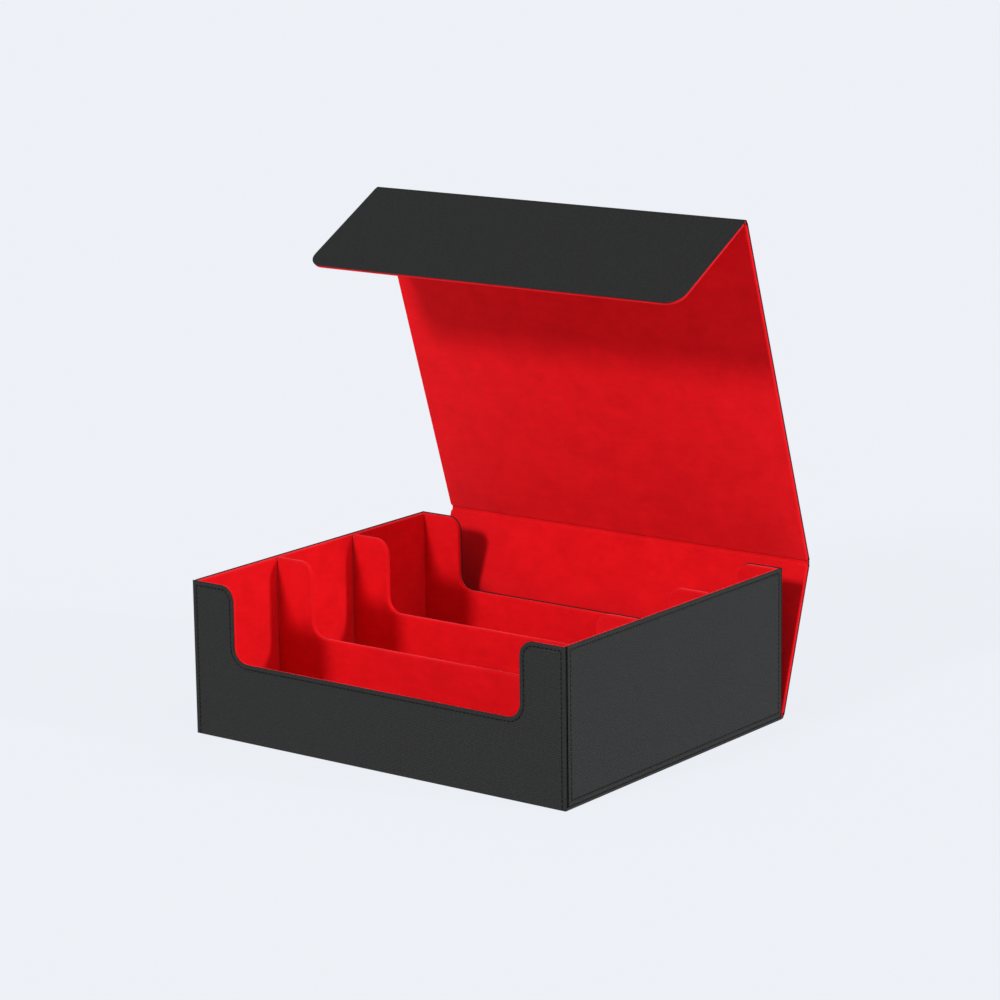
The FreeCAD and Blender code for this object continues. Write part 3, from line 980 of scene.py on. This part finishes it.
@dataclass
class CoverPanel:
    """A stiff panel of the cover: suede inside and leather outside.

    Its own frame starts at its crease axis, with Y along the panel and Z towards the suede.
    """

    name: str
    axis: Vector
    along: Vector
    finisher: Finisher
    border: Border = Border(stitched=False)
    suede: float = 0.6 * MM
    crease_radius: float = 1.7 * MM
    lip: float = 0.4 * MM
    free_radius: float = 0.0
    rim: Rim = Rim(face_radius=1.0 * MM, back_radius=0.3 * MM)

    @property
    def inward(self) -> Vector:
        """The way that the suede faces."""
        return RIGHT.cross(self.along)

    def extent(self, node: str, way: Vector) -> tuple[float, float]:
        """Return how far a CAD node reaches from the crease axis, along a direction."""
        reaches = [(vertex.co - self.axis).dot(way) for vertex in frame["nodes"][node].data.vertices]
        return min(reaches), max(reaches)

    def outline(self, node: str) -> Outline:
        """Return a CAD node's outline in the panel's own frame."""
        low, high = self.extent(node, self.along)
        return Outline(
            half=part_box(node)[1].x,
            low=low,
            high=high,
            near_radius=self.crease_radius,
            far_radius=self.free_radius or self.crease_radius,
        )

    def build(self) -> None:
        """Build the panel's pieces."""
        node = f"{self.name}_lining"
        foot, face = self.extent(node, self.inward)
        _, board_face = self.extent(f"{self.name}_board", self.inward)
        outline = self.outline(f"{self.name}_leather")
        bare = board_face - foot
        lining = wrap_board(f"{self.name}_suede", outline, face - foot, self.suede, bare, self.rim)
        finish_mesh(lining, stand(self.axis + self.inward * face, self.along, self.inward))
        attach(self.finisher.dress(lining, Slot.SUEDE, node), self.name)

        node = f"{self.name}_leather"
        foot, face = self.extent(node, -self.inward)
        place = stand(self.axis - self.inward * foot, self.along, -self.inward)
        outline = replace(outline.inset(-self.lip), near_radius=0.0)
        if not self.free_radius:
            outline = replace(outline, far_radius=0.0)
        leather = skin_board(f"{self.name}_skin", outline, self.border)
        # Painted shade: the sheet's edge faces are painted black.
        mark_painted_shade(leather, lambda _, normal: abs(normal.z) < 0.3)
        finish_mesh(leather, place)
        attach(self.finisher.dress(leather, Slot.LEATHER, node), self.name)


@dataclass
class Crease:
    """A crease: the leather and suede run on across it as thin webs that bend about its axis."""

    name: str
    axis: Vector
    before: Vector
    after: Vector
    bodies: tuple[str, str]
    finisher: Finisher
    half_width: float
    reach: float = 2.2 * MM
    leather: tuple[float, float] = (-1.25 * MM, -0.40 * MM)
    suede: tuple[float, float] = (-0.38 * MM, 0.45 * MM)
    suede_inset: float = 0.4 * MM
    steps: int = 12

    @property
    def fold(self) -> float:
        """How far the second panel is turned from in line with the first, towards the suede."""
        return math.atan2(RIGHT.dot(self.before.cross(self.after)), self.before.dot(self.after))

    def web(self, name: str, layer: tuple[float, float], half: float) -> bpy.types.Object:
        """Model a web in line with the first panel, then bend it ring by ring about the axis.

        Args:
            name: The piece's name.
            layer: The heights of its two faces above the axis, towards the suede.
            half: Half the web's width.

        Returns:
            The web in its place, in edit mode.
        """
        inward = RIGHT.cross(self.before)
        deselect()
        bpy.ops.mesh.primitive_plane_add(size=1.0)
        piece = bpy.context.object
        piece.name = piece.data.name = name
        low, high = layer
        middle = self.axis - self.before * self.reach + inward * (low + high) / 2
        size = Matrix.Diagonal((2 * half, high - low, 1, 1))
        piece.matrix_world = stand(middle, inward, -self.before) @ size
        bpy.ops.object.transform_apply(location=True, rotation=True, scale=True)
        edit(piece)
        bpy.ops.mesh.select_mode(type="FACE")
        step = 2 * self.reach / self.steps
        for _ in range(self.steps):
            bpy.ops.mesh.extrude_region_move(TRANSFORM_OT_translate={"value": self.before * step})
        face_out()
        mesh = bmesh.from_edit_mesh(piece.data)
        rings = [round(((v.co - self.axis).dot(self.before) + self.reach) / step) for v in mesh.verts]
        for ring in range(1, self.steps + 1):
            part = ring / self.steps
            pick(Element.VERTEX, lambda v, ring=ring: rings[v.index] == ring)
            bpy.ops.transform.rotate(
                value=-self.fold * part * part * (3 - 2 * part),
                orient_axis="X",
                orient_type="GLOBAL",
                center_override=self.axis,
            )
        return piece

    def build(self) -> None:
        """Build the crease's two webs and bend them about the axis at the rest fold; they ride on no body."""
        suede_half = self.half_width - self.suede_inset
        webs = (
            (self.web(f"{self.name}_skin", self.leather, self.half_width), Slot.LEATHER, "leather"),
            (self.web(f"{self.name}_suede", self.suede, suede_half), Slot.SUEDE, "lining"),
        )
        for piece, slot, layer in webs:
            finish_mesh(piece, Matrix.Identity(4), smooth_degrees=40.0)
            self.finisher.dress(piece, slot, f"{self.name}_{layer}")
            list(self.bodies)
            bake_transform(piece)


@dataclass
class Cover:
    """The back panel, the lid and the flap, with the three creases between them and the base."""

    finisher: Finisher
    flap_radius: float = 11.0 * MM
    notch: float = 0.1 * MM

    def build(self) -> None:
        """Build the panels and the creases at the places that the joints give."""
        at = {joint["name"]: Vector(joint["pos_m"]) for joint in frame["joints"]}
        rear, lid, flap = at["back_panel_fold"], at["lid_fold"], at["flap_fold"]
        back_way, lid_way = (lid - rear).normalized(), (flap - lid).normalized()
        flap_way = self.panel_direction("flap_board", flap)
        base_way = Vector((0.0, 1.0, 0.0))
        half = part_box("lid_leather")[1].x - self.notch
        CoverPanel("back_panel", rear, back_way, self.finisher).build()
        CoverPanel("lid", lid, lid_way, self.finisher).build()
        CoverPanel("flap", flap, flap_way, self.finisher, free_radius=self.flap_radius).build()
        Crease("rear_crease", rear, base_way, back_way, ("tray", "back_panel"), self.finisher, half).build()
        Crease("lid_crease", lid, back_way, lid_way, ("back_panel", "lid"), self.finisher, half).build()
        Crease("flap_crease", flap, lid_way, flap_way, ("lid", "flap"), self.finisher, half).build()

    @staticmethod
    def panel_direction(node: str, axis: Vector) -> Vector:
        """Return the direction in which a flat CAD node lies from its crease axis."""
        mesh = frame["nodes"][node].data
        way = RIGHT.cross(max(mesh.polygons, key=lambda side: side.area).normal).normalized()
        middle = sum((vertex.co for vertex in mesh.vertices), Vector()) / len(mesh.vertices)
        return way if way.dot(middle - axis) > 0 else -way


# ---------------------------------------------------------------- studio


@dataclass
class Studio:
    """A pale floor, soft lights and the camera."""

    paper: tuple[float, float, float] = (0.864, 0.889, 0.936)
    floor_size: float = 12.0
    azimuth: float = math.radians(37.13)
    elevation: float = math.radians(12.68)
    roll: float = math.radians(-0.73)
    distance: float = 2.260
    aim_right: float = 6.2 * MM
    aim_up: float = 144.6 * MM
    lens: float = 127.3

    def floor(self) -> None:
        """Make the floor, a pale sheet that glows a little so that its shadows stay faint."""
        deselect()
        bpy.ops.mesh.primitive_plane_add(size=self.floor_size)
        floor = bpy.context.object
        floor.name = "studio_floor"
        material, _, shader = new_material("studio paper")
        shader.inputs["Base Color"].default_value = (0.05, 0.052, 0.056, 1.0)
        shader.inputs["Roughness"].default_value = 1.0
        shader.inputs["Specular IOR Level"].default_value = 0.0
        shader.inputs["Emission Color"].default_value = (*self.paper, 1.0)
        shader.inputs["Emission Strength"].default_value = 0.93
        floor.data.materials.append(material)

    def world(self) -> None:
        """Light the room evenly from all round."""
        world = bpy.data.worlds.new("studio")
        world.use_nodes = True
        backdrop = world.node_tree.nodes["Background"]
        backdrop.inputs["Color"].default_value = (*self.paper, 1.0)
        backdrop.inputs["Strength"].default_value = 0.42
        bpy.context.scene.world = world

    def lamp(self, name: str, azimuth: float, elevation: float, strength: float, angle: float) -> None:
        """Hang a far lamp.

        Args:
            name: The lamp's name.
            azimuth: Degrees from the front towards the right.
            elevation: Degrees above the floor.
            strength: Its strength.
            angle: How large it looks, in degrees; a larger lamp casts softer shadows.
        """
        data = bpy.data.lights.new(name, "SUN")
        data.energy = strength
        data.angle = math.radians(angle)
        lamp = bpy.data.objects.new(name, data)
        bpy.context.scene.collection.objects.link(lamp)
        turn, height = math.radians(azimuth), math.radians(elevation)
        level = Vector((math.sin(turn), -math.cos(turn), 0.0))
        towards = level * math.cos(height) + UP * math.sin(height)
        lamp.rotation_euler = towards.to_track_quat("Z", "Y").to_euler()

    def camera(self) -> None:
        """Set the camera up at its bearing, tilt and roll."""
        level = Vector((math.sin(self.azimuth), -math.cos(self.azimuth), 0.0))
        back = level * math.cos(self.elevation) + UP * math.sin(self.elevation)
        right = UP.cross(back).normalized()
        up = back.cross(right)
        turned_right = right * math.cos(self.roll) + up * math.sin(self.roll)
        turned_up = up * math.cos(self.roll) - right * math.sin(self.roll)
        at = back * self.distance + turned_right * self.aim_right + turned_up * self.aim_up
        data = bpy.data.cameras.new("camera")
        data.lens = self.lens
        data.sensor_width = 36.0
        data.clip_start, data.clip_end = 0.01, 50.0
        camera = bpy.data.objects.new("camera", data)
        camera.matrix_world = stand(at, turned_up, back)
        bpy.context.scene.collection.objects.link(camera)
        bpy.context.scene.camera = camera

    def build(self) -> None:
        """Build the studio."""
        self.floor()
        self.world()
        self.lamp("front_lamp", azimuth=-8.5, elevation=30.0, strength=2.05, angle=10.0)
        self.lamp("side_lamp", azimuth=106.0, elevation=20.0, strength=1.85, angle=7.0)
        self.lamp("side_fill", azimuth=86.0, elevation=22.0, strength=0.50, angle=12.0)
        self.camera()
        bpy.context.scene.view_settings.view_transform = "Standard"


def main() -> None:
    """Build the box in its studio."""
    Studio().build()
    finisher = Finisher()
    finisher.dress_frame()
    Tray(finisher).build()
    Cover(finisher).build()
    deselect()


if __name__ == "__main__":
    main()
